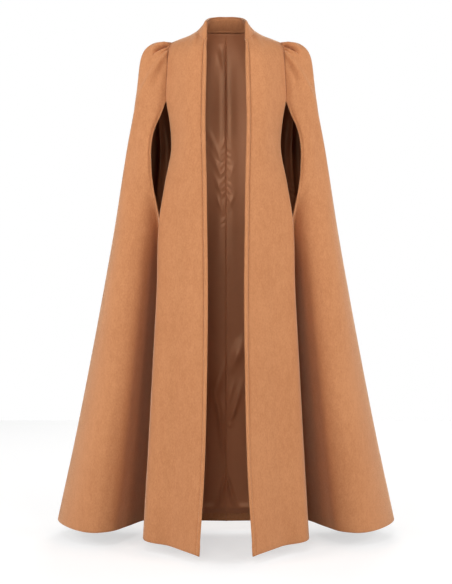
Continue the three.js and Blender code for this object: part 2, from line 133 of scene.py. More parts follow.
frontPanel = {
    "sections": tableOf(("edge", "mid", "fold", "tuck"), [
        (-1468, (74, -213), (155, -117), (239, -10), (-6, 50)),
        (-1250, (60, -198), (142, -124), (225.5, -27), (-5, 42)),
        (-1000, (53, -180), (132, -130), (211, -46), (-4, 34)),
        (-750, (50.5, -163), (124, -132), (197, -62), (-3, 20)),
        (-550, (52.5, -155), (118, -132), (189, -72), (1, 7)),
        (-440, (54, -152), (112, -131), (171, -66), (2, 5)),
        (-345, (56.5, -147), (108, -128), (154.5, -60), (2, 5)),
        (-265, (57.5, -139), (111, -122), (160.5, -55), (2, 5)),
        (-212, (56.5, -129), (114, -114), (169, -50), (2, 3)),
        (-110, (54.5, -103), (112, -92), (167, -38), (2, 3)),
    ]),
    "places": {"edge": 0, "mid": 0.45, "fold": 0.92, "seam": 1},
    "hemLift": {"edge": -6, "mid": -1, "fold": 4, "seam": 5},
    "bandWidth": 12,
    "bandRise": 0.3,
    "bandRoll": 3.0,  # how much further its middle stands out
    "ditchDepth": 1.2,  # along its stitches
    "ditchWidth": 1.9,
    "armholeDepth": 1.3,
    "armholeWidth": 1.6,
    "armholeStart": 20,  # above the slit, over which its ditch deepens
    "neckColumns": 18,
    "shoulderColumns": 34,
    "bandColumns": 10,
    # Soft tension folds beside the neck, as lines of x and z.
    "folds": [
        fold([(76, -28), (81, -52), (84, -90)], [-2.2, -1.6, 0], [4, 6, 9]),  # neck fold
        fold([(86, -14), (92, -42), (97, -80), (100, -120)], [1.2, 1.8, 1.2, 0],
             [5, 7, 9, 12]),  # neck ridge
        fold([(104, -22), (108, -48), (111, -86)], [-0.8, -1.2, 0], [5, 7, 10]),  # shoulder fold
    ],
    "yoke": tableOf(("top", "bend"), [
        (0, (55.5, -80, -43), (55, -93, -80)),
        (0.1, (62, -74, -38), (66, -94, -74)),
        (0.2, (72, -56, -27), (78, -92, -62)),
        (0.3, (80.5, -29, -12), (88, -86, -46)),
        (0.4, (84, 0, 0), (94, -76, -30)),
        (0.6, (106, 0, -13), (118, -73, -34)),
        (0.8, (131, 0, -22.5), (146, -60, -42)),
        (1, (157, 0, -33), (172, -24, -50)),
    ]),
    "neckPoint": 0.4,
    "bandAtNeck": 0.08,
}

slitOpening = {
    "sections": tableOf(("open",), [
        (-550, 0),
        (-503, 16),
        (-459, 30),
        (-401, 47),
        (-357, 56),
        (-313, 51.5),
        (-284, 40.5),
        (-254, 22.5),
        (-220, 4),
        (-212, 0),
    ]),
    "rollWidth": 5.5,
    "rollRise": 1.3,
    "rollCrest": 0.4,  # where the roll is highest, as a share of its width
    "fadeBelow": 40,
    "fadeAbove": 30,
    "stitchLine": 7,
    "grooveWidth": 1.1,
    "grooveDepth": 0.7,
}

capeSide = {
    "sections": tableOf(("valley", "slope", "brow", "lobe", "side", "rear", "trough", "seam"), [
        (-1468, (246, 190), (296, 82), (332, 6), (368, -10), (518, 210), (420, 345), (318, 264), (268, 250)),
        (-1250, (234, 150), (275, 42), (307, -25), (340, -40), (467, 165), (386, 298), (294, 238),
         (246, 224)),
        (-1000, (218, 98), (252, 2), (280, -54), (307, -66), (413, 114), (350, 242), (266, 206), (222, 192)),
        (-750, (203, 42), (232, -30), (257, -66), (284, -75), (361, 72), (313, 188), (240, 176), (198, 160)),
        (-550, (199, -34), (224, -56), (241, -64), (262, -67), (323, 42), (284, 145), (216, 149), (176, 134)),
        (-440, (222, -67), (244, -62), (256, -55), (268, -45), (304, 29), (270, 123), (206, 136), (166, 122)),
        (-345, (226, -61), (242, -55), (251, -49), (260, -40), (288, 20), (257, 106), (200, 124), (160, 112)),
        (-212, (194, -54), (213, -52), (223, -49.5), (234, -45), (263.5, 10), (236, 82), (196, 104),
         (165, 100)),
        (-110, (188, -39), (202, -39), (210, -38), (218, -35.5), (252, 5), (224, 62), (194, 82), (163, 84)),
    ]),
    "places": {"start": 0, "valley": 0.145, "slope": 0.255, "brow": 0.325, "lobe": 0.372, "side": 0.63,
               "rear": 0.815, "trough": 0.937, "seam": 1},
    "hemLift": {"start": 5, "valley": 9, "slope": 12, "brow": 14.5, "lobe": 13.5, "side": 12, "rear": 8,
                "trough": 3, "seam": 0},
    "edgeShare": 0.12,  # the stretch beside the slit, where the columns are close
    "edgeColumns": 16,
    "shoulderShare": 0.51,
    "headSpread": 0.78,
    "headRise": 0.05,
    "headShoulder": 0.8,
    # Pleats and ridges in the head as lines of x and z, seen from the front. The rear has shallower ones.
    "rearFoldShare": 0.45,
    "rearFoldStart": 50,
    "folds": [
        fold([(160, -45), (176, -49), (192, -57), (206, -65), (216, -80)], [-8, -15, -15, -9, 0],
             [1.8, 2.4, 3, 4.5, 7]),  # pleat
        fold([(162, -38), (180, -41), (198, -48), (212, -57), (224, -72)], [3, 7, 8, 4, 0],
             [3.5, 4.5, 5.5, 7, 8]),  # pleat lip
        fold([(161, -54), (174, -62), (186, -74), (196, -90)], [-2, -5, -4, 0],
             [2.5, 3.5, 5, 7]),  # second pleat
        fold([(172, -70), (186, -88), (208, -122), (230, -164), (243, -192), (258, -231)],
             [3, 6, 7, 7, 5, 0], [7, 8, 9, 10, 11, 12]),  # ridge
        fold([(176, -92), (184, -109), (198, -149), (206, -185)],
             [0, -3.5, -3.5, 0], [7, 8, 9, 10]),  # hollow inside the ridge
    ],
}

backPanel = {
    "sections": tableOf(("mid", "centre"), [
        (-1468, (138, 238), (0, 230)),
        (-1250, (126, 213), (0, 204)),
        (-1000, (114, 189), (0, 180)),
        (-750, (102, 166), (0, 158)),
        (-550, (92, 148), (0, 142)),
        (-440, (88, 138), (0, 134)),
        (-345, (86, 131), (0, 128)),
        (-212, (88, 121), (0, 118)),
        (-110, (88, 107), (0, 104)),
    ]),
    "places": {"seam": 0, "mid": 0.5, "centre": 1},
    "yoke": tableOf(("top", "bend"), [
        (0, (157, 0, -33), (168, 45, -45)),
        (0.2, (131, 0, -22.5), (138, 76, -40)),
        (0.4, (106, 0, -13), (108, 88, -34)),
        (0.6, (84, 0, 0), (80, 92, -26)),
        (0.7, (74, 32, 5), (64, 94, -22)),
        (0.8, (54, 54, 8.5), (46, 95, -18)),
        (0.9, (28, 68, 10.5), (24, 96, -16)),
        (1, (0, 72, 11), (0, 96, -16)),
    ]),
    "neckPoint": 0.6,
    "neckColumns": 24,
}

standCollar = {
    "sections": tableOf(("top", "bend"), [
        (0, (57, -62, 14), (56, -73, -14)),
        (0.15, (60, -54, 16), (63, -66, -8)),
        (0.3, (60.5, -38, 21), (68, -46, 0)),
        (0.45, (56.5, -12, 31), (67, -12, 13)),
        (0.6, (51.5, 16, 41), (63, 20, 20)),
        (0.75, (43, 40, 49), (48, 42, 26)),
        (0.88, (24, 55, 54), (26, 56, 29)),
        (1, (0, 60, 55), (0, 62, 30)),
    ]),
    "rows": 24,
    "cornerRadius": 8,
    "stitchBelowTop": 5,
    "facingDepth": 2.8,
    "facingThickness": 2.4,
    "stitchDepth": 1.9,
    "stitchWidth": 1.9,
    "seamRoll": 1.6,  # the facing's soft edge over the lining
    "seamRollWidth": 3.0,
}

# Heights of the level rows, close together round the slit.
heights = np.unique(np.concatenate([
    np.linspace(garment["hem"], garment["slitBottom"], garment["lowerRows"]),
    np.linspace(garment["slitBottom"], garment["slitTop"], garment["slitRows"]),
    np.linspace(garment["slitTop"], garment["chest"], garment["chestRows"]),
]))
levelCount = len(heights)
chestPair = np.array([garment["chest"] - 1.0, garment["chest"]])  # two heights that give the climb there


def frontPlaces(z):
    sections = frontPanel["sections"]
    turn = placeAt(sections, "fold", z)
    seam = turn + placeAt(sections, "tuck", z)
    edge, mid = (placeAt(sections, name, z) for name in ("edge", "mid"))
    return {"edge": edge, "mid": mid, "fold": turn, "seam": seam}


def frontRows(us, z):
    return surfaceRows(frontPanel["places"], frontPlaces(z), frontPanel["hemLift"], us, z)


def capeRows(us, z):
    sections = capeSide["sections"]
    points = {name: placeAt(sections, name, z) for name in capeSide["places"] if name != "start"}
    inSlit = (z > garment["slitBottom"]) & (z < garment["slitTop"])
    start = frontPlaces(z)["seam"].copy()
    start[:, 0] += np.where(inSlit, placeAt(slitOpening["sections"], "open", z), 0)
    points = {"start": start, **points}
    return surfaceRows(capeSide["places"], points, capeSide["hemLift"], us, z)


def backRows(us, z):
    points = {name: placeAt(backPanel["sections"], name, z) for name in ("mid", "centre")}
    points = {"seam": placeAt(capeSide["sections"], "seam", z), **points}
    return surfaceRows(backPanel["places"], points, None, us, z)


def cubicCurve(t, low, first, second, high):
    return (1 - t) ** 3 * low + 3 * t * (1 - t) ** 2 * first + 3 * t * t * (1 - t) * second + t ** 3 * high


# Points of a curve from low to high that leaves low along its climb and reaches high past its bend.
def bentRows(low, climb, bend, high, shares):
    t = np.asarray(shares, float)[:, None, None]
    first = low + climb
    second = bend + (high - bend) * garment["pastBend"]
    return cubicCurve(t, low, first, second, high)


# Each row of a dense grid read at its own shares of the way across.
def readRows(rows, us, wanted):
    out = np.empty((rows.shape[0], wanted.shape[1], 3))
    for r in range(rows.shape[0]):
        for axis in range(3):
            out[r, :, axis] = np.interp(wanted[r], us, rows[r, :, axis])
    return out


# A yoke table read smoothly on each side of the neck point, where its line turns.
def yokeAt(table, name, neckPoint, us):
    low = [row for row in table if row["at"] <= neckPoint + tiny]
    high = [row for row in table if row["at"] >= neckPoint - tiny]
    return np.where((us <= neckPoint)[:, None], placeAt(low, name, us), placeAt(high, name, us))


# The whole of a front or back: level rows, then the rows that bend over the shoulder.
def panelRows(rowsAt, yoke, neckPoint, us):
    level = rowsAt(us, heights)
    pair = rowsAt(us, chestPair)
    low = pair[1]
    high = yokeAt(yoke, "top", neckPoint, us)
    bend = yokeAt(yoke, "bend", neckPoint, us)
    rise = (high[:, 2] - low[:, 2])[:, None]
    climb = (pair[1] - pair[0]) * rise * garment["climb"]
    shares = np.arange(1, garment["yokeRows"] + 1) / garment["yokeRows"]
    return np.concatenate([level, bentRows(low, climb, bend, high, shares)])


denseUs = np.linspace(0, 1, 401)
nearEdge = 8  # the dense column that measures the panel's width at its edge
frontDense = panelRows(frontRows, frontPanel["yoke"], frontPanel["neckPoint"], denseUs)
rowCount = len(frontDense)

# The band's inner line is one band width from the edge, and narrows into the neckline.
firstStep = np.linalg.norm(frontDense[:, nearEdge] - frontDense[:, 0], axis=1) / denseUs[nearEdge]
bandLine = frontPanel["bandWidth"] / firstStep
intoNeck = np.clip((np.arange(rowCount) - levelCount + 1) / garment["yokeRows"], 0, 1)
bandLine = bandLine * (1 - intoNeck) + frontPanel["bandAtNeck"] * intoNeck
neckShare = (frontPanel["neckPoint"] - frontPanel["bandAtNeck"]) / (1 - frontPanel["bandAtNeck"])
frontShares = np.concatenate([
    np.linspace(0, neckShare, frontPanel["neckColumns"] + 1),
    np.linspace(neckShare, 1, frontPanel["shoulderColumns"] + 1)[1:],
])
bandLine = bandLine[:, None]
frontGrid = readRows(frontDense, denseUs, bandLine + (1 - bandLine) * frontShares[None, :])
bandShares = np.linspace(0, 1, frontPanel["bandColumns"] + 1)
bandGrid = readRows(frontDense, denseUs, bandLine * bandShares[None, :])

backShares = np.concatenate([
    np.linspace(0, backPanel["neckPoint"], frontPanel["shoulderColumns"] + 1),
    np.linspace(backPanel["neckPoint"], 1, backPanel["neckColumns"] + 1)[1:],
])
backGrid = panelRows(backRows, backPanel["yoke"], backPanel["neckPoint"], backShares)

print("panels shaped:", frontGrid.shape, backGrid.shape)


# The cape's columns end on the armhole, one at each row of the front or back above its start.
half = garment["yokeRows"] - garment["headRows"]


def capeGridPoints():
    us = np.concatenate([
        np.linspace(0, capeSide["edgeShare"], capeSide["edgeColumns"] + 1),
        np.linspace(capeSide["edgeShare"], capeSide["shoulderShare"], half - capeSide["edgeColumns"] + 1)[1:],
        np.linspace(capeSide["shoulderShare"], 1, half + 1)[1:],
    ])
    level = capeRows(us, heights)
    pair = capeRows(us, chestPair)
    low = pair[1]
    frontArmhole = frontGrid[levelCount - 1:, -1]
    backArmhole = backGrid[levelCount - 1:, 0]
    start = garment["headRows"]
    top = np.concatenate([frontArmhole[start:], backArmhole[start:-1][::-1]])
    climb = (pair[1] - pair[0]) * ((top[:, 2] - low[:, 2]) * capeSide["headShoulder"])[:, None]
    out = (low - top) * np.array([1, 1, 0])
    crown = top + out * capeSide["headSpread"]
    crown[:, 2] += capeSide["headRise"] * np.linalg.norm(out, axis=1)
    t = (np.arange(1, start + 1) / start)[:, None, None]
    head = cubicCurve(t, low, low + climb, crown, top)
    head[:, 0] = frontArmhole[1:start + 1]
    head[:, -1] = backArmhole[1:start + 1]
    return us, np.concatenate([level, head])


capeUs, capeGrid = capeGridPoints()


def gridNormals(grid):
    across = np.gradient(grid, axis=1)
    up = np.gradient(grid, axis=0)
    return unit(np.cross(across, up))


# How far each point is from a line of x and z, and how far along the line it is nearest.
def nearLine(x, z, line):
    line = np.asarray(line, float)
    best = np.full(x.shape, 1e9)
    along = np.zeros(x.shape)
    for k in range(len(line) - 1):
        a, b = line[k], line[k + 1]
        d = b - a
        t = np.clip(((x - a[0]) * d[0] + (z - a[1]) * d[1]) / (d @ d), 0, 1)
        away = np.hypot(x - a[0] - t * d[0], z - a[1] - t * d[1])
        closer = away < best
        best = np.where(closer, away, best)
        along = np.where(closer, k + t, along)
    return best, along


# How far the folds of one side, or of both, stand out at each point.
def foldRise(x, z, folds, side=0):
    rise = np.zeros(x.shape)
    for one in folds:
        if one["side"] * side < 0:
            continue
        away, along = nearLine(x, z, one["line"])
        knots = range(len(one["line"]))
        rise += np.interp(along, knots, one["depth"]) * hump(away, 0, np.interp(along, knots, one["width"]))
    return rise


# A share that rises over the first few of a count of rows or columns, or over the last few.
def fadeIn(count, reach, fromEnd=False):
    places = np.arange(count)
    return smoothStep(0, reach, places[::-1] if fromEnd else places)


def pressFolds(grid, folds):
    rows, columns = grid.shape[:2]
    move = foldRise(grid[..., 0], grid[..., 2], folds)
    move *= 1 - (1 - capeSide["rearFoldShare"]) * smoothStep(0, capeSide["rearFoldStart"], grid[..., 1])
    move[-1] = 0  # the seam stays where it is
    fade = fadeIn(rows, foldFade["rows"], fromEnd=True)
    edge = fadeIn(columns, foldFade["columns"]) * fadeIn(columns, foldFade["columns"], fromEnd=True)
    return grid + gridNormals(grid) * (move * fade[:, None] * edge[None, :])[..., None]


foldFade = {"rows": 3, "columns": 4}  # how many of them at a panel's border have fainter folds
capeGrid = pressFolds(capeGrid, capeSide["folds"])
frontGrid = pressFolds(frontGrid, frontPanel["folds"])


# The collar stands on the neckline: the band's top, the front's and the back's.
def collarPoints():
    frontNeck = frontGrid[-1, : frontPanel["neckColumns"] + 1]
    backNeck = backGrid[-1, frontPanel["shoulderColumns"]:]
    base = np.concatenate([bandGrid[-1], frontNeck[1:], backNeck[1:]])
    reach = np.concatenate([[0], np.cumsum(np.linalg.norm(np.diff(base, axis=0), axis=1))])
    along = reach / reach[-1]
    bend = placeAt(standCollar["sections"], "bend", along)
    top = placeAt(standCollar["sections"], "top", along)
    height = np.linalg.norm(top - base, axis=1)
    radius = standCollar["cornerRadius"]
    fromCorner = np.clip(radius - reach, 0, radius)
    highest = 1 - (radius - np.sqrt(radius ** 2 - fromCorner ** 2)) / height  # its front corners are rounded
    t = (np.linspace(0, 1, standCollar["rows"])[:, None] * highest[None, :])[..., None]
    return (1 - t) ** 2 * base + 2 * t * (1 - t) * bend + t * t * top


collarGrid = collarPoints()
print("cape and collar shaped:", capeGrid.shape, collarGrid.shape)

grids = {"front": frontGrid, "band": bandGrid, "back": backGrid, "cape": capeGrid, "collar": collarGrid}
normalsOf = {name: gridNormals(grid) for name, grid in grids.items()}


# Pieces sewn together share the normals along their seam. views are (piece, rows, columns).
def shareSeam(*views):
    total = unit(sum(normalsOf[name][index] for name, index in views))
    for name, index in views:
        normalsOf[name][index] = total


shareSeam(("front", np.s_[:, 0]), ("band", np.s_[:, -1]))
openRows = (heights > garment["slitBottom"] + 1) & (heights < garment["slitTop"] - 1)
sewn = np.nonzero(~openRows)[0]
shareSeam(("front", (sewn, -1)), ("cape", (sewn, 0)))
shareSeam(("back", np.s_[:levelCount, 0]), ("cape", np.s_[:levelCount, -1]))
armStart = levelCount + garment["headRows"] - 1
shareSeam(("front", np.s_[levelCount:armStart, -1]), ("cape", np.s_[levelCount:armStart, 0]))
shareSeam(("back", np.s_[levelCount:armStart, 0]), ("cape", np.s_[levelCount:armStart, -1]))
shareSeam(("front", np.s_[armStart:, -1]), ("cape", np.s_[-1, : half + 1]))
shareSeam(("back", np.s_[armStart:, 0]), ("cape", (-1, np.arange(2 * half, half - 1, -1))))
shoulder = frontPanel["shoulderColumns"]
neck = frontPanel["neckColumns"]
overShoulder = np.arange(shoulder + 1)
shareSeam(("front", (-1, neck + overShoulder)), ("back", (-1, overShoulder[::-1])))
bandEnd = frontPanel["bandColumns"]
shareSeam(("collar", np.s_[0, : bandEnd + 1]), ("band", np.s_[-1, :]))
shareSeam(("collar", np.s_[0, bandEnd: bandEnd + neck + 1]), ("front", np.s_[-1, : neck + 1]))
shareSeam(("collar", np.s_[0, bandEnd + neck:]), ("back", np.s_[-1, shoulder:]))
for name in ("back", "collar"):
    normalsOf[name][:, -1, 0] = 0
    normalsOf[name][:, -1] = unit(normalsOf[name][:, -1])


def addObject(name, data):
    thing = bpy.data.objects.new(name, data)
    scene.collection.objects.link(thing)
    return thing


# A closed wall of cloth from a grid of its outer face. The two depths are its faces' distances under
# the grid, and may vary. borders says how round each rim is: 1 is a full half round, and 0.1 is square.
def clothWall(name, grid, normals, outerDepth, innerDepth, borders, side=1, rimSteps=4):
    rows, columns = grid.shape[:2]
    roundness = np.ones((rows, columns))
    roundness[0] = borders.get("bottom", 1)
    roundness[:, 0] = borders.get("start", 1)
    roundness[:, -1] = borders.get("end", 1)
    roundness[-1] = borders.get("top", 1)
    outerDepth = np.broadcast_to(np.asarray(outerDepth, float), (rows, columns))
    innerDepth = np.broadcast_to(np.asarray(innerDepth, float), (rows, columns))
    ring = [(0, j) for j in range(columns)] + [(i, columns - 1) for i in range(1, rows)]
    ring += [(rows - 1, j) for j in range(columns - 2, -1, -1)] + [(i, 0) for i in range(rows - 2, 0, -1)]
    rim = tuple(np.array(ring).T)
    here = grid[rim]
    line = unit(np.roll(here, -1, axis=0) - np.roll(here, 1, axis=0))
    rimNormals = normals[rim]
    outward = unit(np.cross(line, rimNormals))
    radius = ((innerDepth - outerDepth) / 2)[rim][:, None]
    reach = radius * roundness[rim][:, None]
    inset = grid.copy()
    inset[rim] = here - outward * reach
    outer = inset - normals * outerDepth[..., None]
    inner = inset - normals * innerDepth[..., None]
    middle = inset[rim] - rimNormals * ((outerDepth + innerDepth)[rim][:, None] / 2)
    points = [outer.reshape(-1, 3), inner.reshape(-1, 3)]
    for k in range(1, rimSteps):
        angle = math.pi * k / rimSteps
        points.append(middle + outward * reach * math.sin(angle) + rimNormals * radius * math.cos(angle))
    points = np.concatenate(points)
    count = rows * columns
    index = np.arange(count).reshape(rows, columns)
    squares = np.stack([index[:-1, :-1], index[:-1, 1:], index[1:, 1:], index[1:, :-1]], axis=-1)
    squares = squares.reshape(-1, 4)
    quads = [squares, count + squares[:, [0, 3, 2, 1]]]
    loops = [index[rim]] + [2 * count + k * len(ring) + np.arange(len(ring)) for k in range(rimSteps - 1)]
    loops.append(count + index[rim])
    for a, b in zip(loops[:-1], loops[1:]):
        quads.append(np.stack([a, b, np.roll(b, -1), np.roll(a, -1)], axis=-1))
    faces = np.concatenate(quads)
    if side < 0:
        points = points * np.array([-1, 1, 1])
        faces = faces[:, ::-1]
    mesh = bpy.data.meshes.new(name)
    mesh.from_pydata((points * mm).tolist(), [], faces.tolist())
    mesh.shade_smooth()
    # The cloth's own measure, in metres across and down the piece.
    steps = np.linalg.norm(np.diff(grid, axis=1), axis=2)
    across = np.concatenate([np.zeros((rows, 1)), np.cumsum(steps, axis=1)], axis=1)
    rises = np.linalg.norm(np.diff(grid, axis=0), axis=2)
    down = np.concatenate([np.zeros((1, columns)), np.cumsum(rises, axis=0)], axis=0)
    flatUv = np.stack([across, down], axis=-1).reshape(-1, 2) * mm
    allUv = np.concatenate([flatUv, flatUv] + [flatUv[index[rim]]] * (rimSteps - 1))
    layer = mesh.uv_layers.new(name="cloth")
    corners = np.empty(len(mesh.loops), dtype=np.int32)
    mesh.loops.foreach_get("vertex_index", corners)
    layer.data.foreach_set("uv", allUv[corners].ravel())
    corner = grid[:-1, :-1]
    areas = np.linalg.norm(np.cross(grid[:-1, 1:] - corner, grid[1:, :-1] - corner), axis=2)
    cut = {
        "width": float(across[:, -1].max() * mm),
        "length": float(down[-1].max() * mm),
        "area": float(areas.sum() * mm * mm),
    }
    return addObject(name, mesh), cut


# A sheet's material, its body, the node that it stands for, and its sizes along its surface.
def settle(piece, cut, node, material):
    piece.data.materials.append(material)
    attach(piece, "root")
    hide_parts(node)
    print(f"{piece.name}: {cut['width']:.3f} x {cut['length']:.3f} m, {cut['area']:.3f} m2, "
          f"{len(piece.data.polygons)} faces")


print("materials")


# A node with its settings and the values of its inputs.
def addNode(tree, kind, values=None, **settings):
    node = tree.nodes.new(kind)
    for name, value in settings.items():
        setattr(node, name, value)
    for socket, value in (values or {}).items():
        node.inputs[socket].default_value = value
    return node


# Each link is a node and its output, then a node and its input.
def linkNodes(tree, *links):
    for source, output, target, entry in links:
        tree.links.new(source.outputs[output], target.inputs[entry])


# The layers of a cloth's surface, from the largest marks to the finest, each with its noise's detail.
clothLayers = {"detail": {"Patch": 2, "Mottle": 3, "Speckle": 3, "Fibre": 2}, "roughness": 0.6, "middle": 0.5,
               "brushed": (1, 1, 0.5)}  # the nap is brushed down the cloth


# Marks on a napped or woven cloth: how far its colour goes to the shade, and a height.
def clothTextureGroup():
    tree = bpy.data.node_groups.new("clothTexture", "ShaderNodeTree")
    for name in clothLayers["detail"]:
        for kind in ("Scale", "Amount"):
            tree.interface.new_socket(f"{name} {kind}", in_out="INPUT", socket_type="NodeSocketFloat")
    for name in ("Shade", "Height"):
        tree.interface.new_socket(name, in_out="OUTPUT", socket_type="NodeSocketFloat")
    inputs = addNode(tree, "NodeGroupInput")
    outputs = addNode(tree, "NodeGroupOutput")
    place = addNode(tree, "ShaderNodeTexCoord")
    brushed = addNode(tree, "ShaderNodeMapping", {"Scale": clothLayers["brushed"]})
    linkNodes(tree, (place, "Object", brushed, "Vector"))
    middle = clothLayers["middle"]
    noises = {}
    total = None
    for name, detail in clothLayers["detail"].items():
        noise = addNode(tree, "ShaderNodeTexNoise", {"Detail": detail, "Roughness": clothLayers["roughness"]})
        centred = addNode(tree, "ShaderNodeMath", {1: middle}, operation="SUBTRACT")
        summed = addNode(tree, "ShaderNodeMath", {2: middle}, operation="MULTIPLY_ADD")
        vector = (place, "Object") if name == "Patch" else (brushed, "Vector")
        linkNodes(tree, (*vector, noise, "Vector"), (inputs, f"{name} Scale", noise, "Scale"),
                  (noise, "Fac", centred, 0), (centred, 0, summed, 0), (inputs, f"{name} Amount", summed, 1))
        if total:
            linkNodes(tree, (total, 0, summed, 2))
        total = summed
        noises[name] = noise
    limit = addNode(tree, "ShaderNodeClamp")
    height = addNode(tree, "ShaderNodeMath", operation="ADD")
    linkNodes(tree, (total, 0, limit, "Value"), (limit, 0, outputs, "Shade"),
              (noises["Speckle"], "Fac", height, 0), (noises["Fibre"], "Fac", height, 1),
              (height, 0, outputs, "Height"))
    return tree


clothTexture = clothTextureGroup()


def clothMaterial(name, values):
    material = bpy.data.materials.new(name)
    material.use_nodes = True
    tree = material.node_tree
    tree.nodes.clear()
    out = addNode(tree, "ShaderNodeOutputMaterial")
    surface = addNode(tree, "ShaderNodeBsdfPrincipled", values["surface"])
    texture = addNode(tree, "ShaderNodeGroup", node_tree=clothTexture)
    for layer, (scale, amount) in values["texture"].items():
        texture.inputs[f"{layer} Scale"].default_value = scale
        texture.inputs[f"{layer} Amount"].default_value = amount
    colour = addNode(tree, "ShaderNodeMix", {"A": values["colour"], "B": values["shade"]}, data_type="RGBA")
    bump = addNode(tree, "ShaderNodeBump", {"Strength": values["bump"], "Distance": values["bumpDepth"]})
    linkNodes(tree, (texture, "Shade", colour, "Factor"), (colour, "Result", surface, "Base Color"),
              (texture, "Height", bump, "Height"), (bump, "Normal", surface, "Normal"),
              (surface, "BSDF", out, "Surface"))
    return material


# Each layer of a texture has a scale and an amount.
woolFinish = {
    "colour": (0.56, 0.246, 0.108, 1),
    "shade": (0.47, 0.192, 0.080, 1),
    "texture": {"Patch": (6, 0.8), "Mottle": (70, 1.3), "Speckle": (330, 2.2), "Fibre": (1500, 1)},
    "bump": 0.4,
    "bumpDepth": 0.0007,
    "surface": {"Roughness": 0.93, "Specular IOR Level": 0.15, "Sheen Weight": 1.0, "Sheen Roughness": 0.33,
                "Sheen Tint": (1.0, 0.74, 0.54, 1)},
}
# The collar's facing is the same wool as the coat, painted darker: painted shade for the shade inside the
# neck.
paintedShadeFacingFinish = {**woolFinish, "colour": (0.415, 0.172, 0.074, 1), "shade": (0.34, 0.135, 0.056, 1)}
satinFinish = {
    "colour": (0.570, 0.240, 0.118, 1),
    "shade": (0.470, 0.188, 0.088, 1),
    "texture": {"Patch": (12, 0.7), "Mottle": (90, 0.3), "Speckle": (600, 0.25), "Fibre": (2400, 0.25)},
    "bump": 0.06,
    "bumpDepth": 0.0003,
    "surface": {"Roughness": 0.40, "Specular IOR Level": 0.36, "Specular Tint": (1.0, 0.74, 0.56, 1),
                "Sheen Weight": 0.06, "Sheen Roughness": 0.3, "Sheen Tint": (1.0, 0.6, 0.4, 1)},
}
# The cape's lining is the same satin as the back's, painted darker: painted shade for the shade seen inside
# the slits.
paintedShadeSatinFinish = {
    **satinFinish,
    "colour": (0.200, 0.066, 0.026, 1),
    "shade": (0.155, 0.049, 0.019, 1),
    "surface": {**satinFinish["surface"], "Specular IOR Level": 0.12, "Sheen Weight": 0.0},
}
threadFinish = {
    "colour": (0.25, 0.098, 0.040, 1),
    "shade": (0.20, 0.076, 0.030, 1),
    "texture": {"Patch": (40, 0.3), "Mottle": (200, 0.3), "Speckle": (900, 0.4), "Fibre": (3000, 0.3)},
    "bump": 0.2,
    "bumpDepth": 0.0001,
    "surface": {"Roughness": 0.6, "Specular IOR Level": 0.4},
}
camelWool = clothMaterial("camelWool", woolFinish)
paintedShadeFacingWool = clothMaterial("paintedShadeFacingWool", paintedShadeFacingFinish)
brownSatin = clothMaterial("brownSatin", satinFinish)
paintedShadeSatin = clothMaterial("paintedShadeSatin", paintedShadeSatinFinish)
sewingThread = clothMaterial("sewingThread", threadFinish)

print("wool walls")


# The turned hem is thicker on the inside.
def woolDepth(grid):
    above = grid[..., 2] - grid[0, :, 2][None, :]
    height = garment["hemTurningHeight"]
    turning = 1 - smoothStep(height - garment["hemTurningSlope"], height, above)
    return garment["woolThickness"] + garment["hemTurning"] * turning


# The band stands out in a soft roll between its stitches and its edge.
def bandDepth():
    across = np.linspace(-1, 1, frontPanel["bandColumns"] + 1)
    roll = frontPanel["bandRise"] + frontPanel["bandRoll"] * (1 - across ** 2)
    fromStitches = distances(bandGrid, bandGrid[:, -1:])
    return frontPanel["ditchDepth"] * hump(fromStitches, 0, frontPanel["ditchWidth"]) - roll[None, :]


# Beside the band, and at the armhole, the stitches pull the cloth in.
def frontDepth():
    fromStitches = distances(frontGrid, frontGrid[:, :1])
    fromArmhole = distances(frontGrid, frontGrid[:, -1:])
    depth = frontPanel["ditchDepth"] * hump(fromStitches, 0, frontPanel["ditchWidth"])
    start = garment["slitTop"]
    aboveSlit = smoothStep(start, start + frontPanel["armholeStart"], frontGrid[:, -1, 2])[:, None]
    return depth + frontPanel["armholeDepth"] * hump(fromArmhole, 0, frontPanel["armholeWidth"]) * aboveSlit


# The slit's edge on the cape is rolled under and stitched down, which leaves a ridge and a groove.
def slitRise():
    reach = distances(capeGrid, capeGrid[:, :1])
    z = capeGrid[:, 0, 2]
    inSlit = smoothStep(garment["slitBottom"], garment["slitBottom"] + slitOpening["fadeBelow"], z)
    inSlit *= 1 - smoothStep(garment["slitTop"] - slitOpening["fadeAbove"], garment["slitTop"], z)
    crest = slitOpening["rollCrest"]
    roll = np.clip(1 - (reach / slitOpening["rollWidth"] - crest) ** 2 / (1 - crest) ** 2, 0, 1)
    groove = hump(reach, slitOpening["stitchLine"], slitOpening["grooveWidth"])
    return (slitOpening["rollRise"] * roll - slitOpening["grooveDepth"] * groove) * inSlit[:, None]


# Level seams are sewn nearly flat, the armhole is pressed open, and the slit's edges are round.
def sewnRows(count, sewnRoundness):
    roundness = np.full(count, sewnRoundness)
    roundness[:levelCount] = np.where(openRows, 1, sewnRoundness)
    return roundness


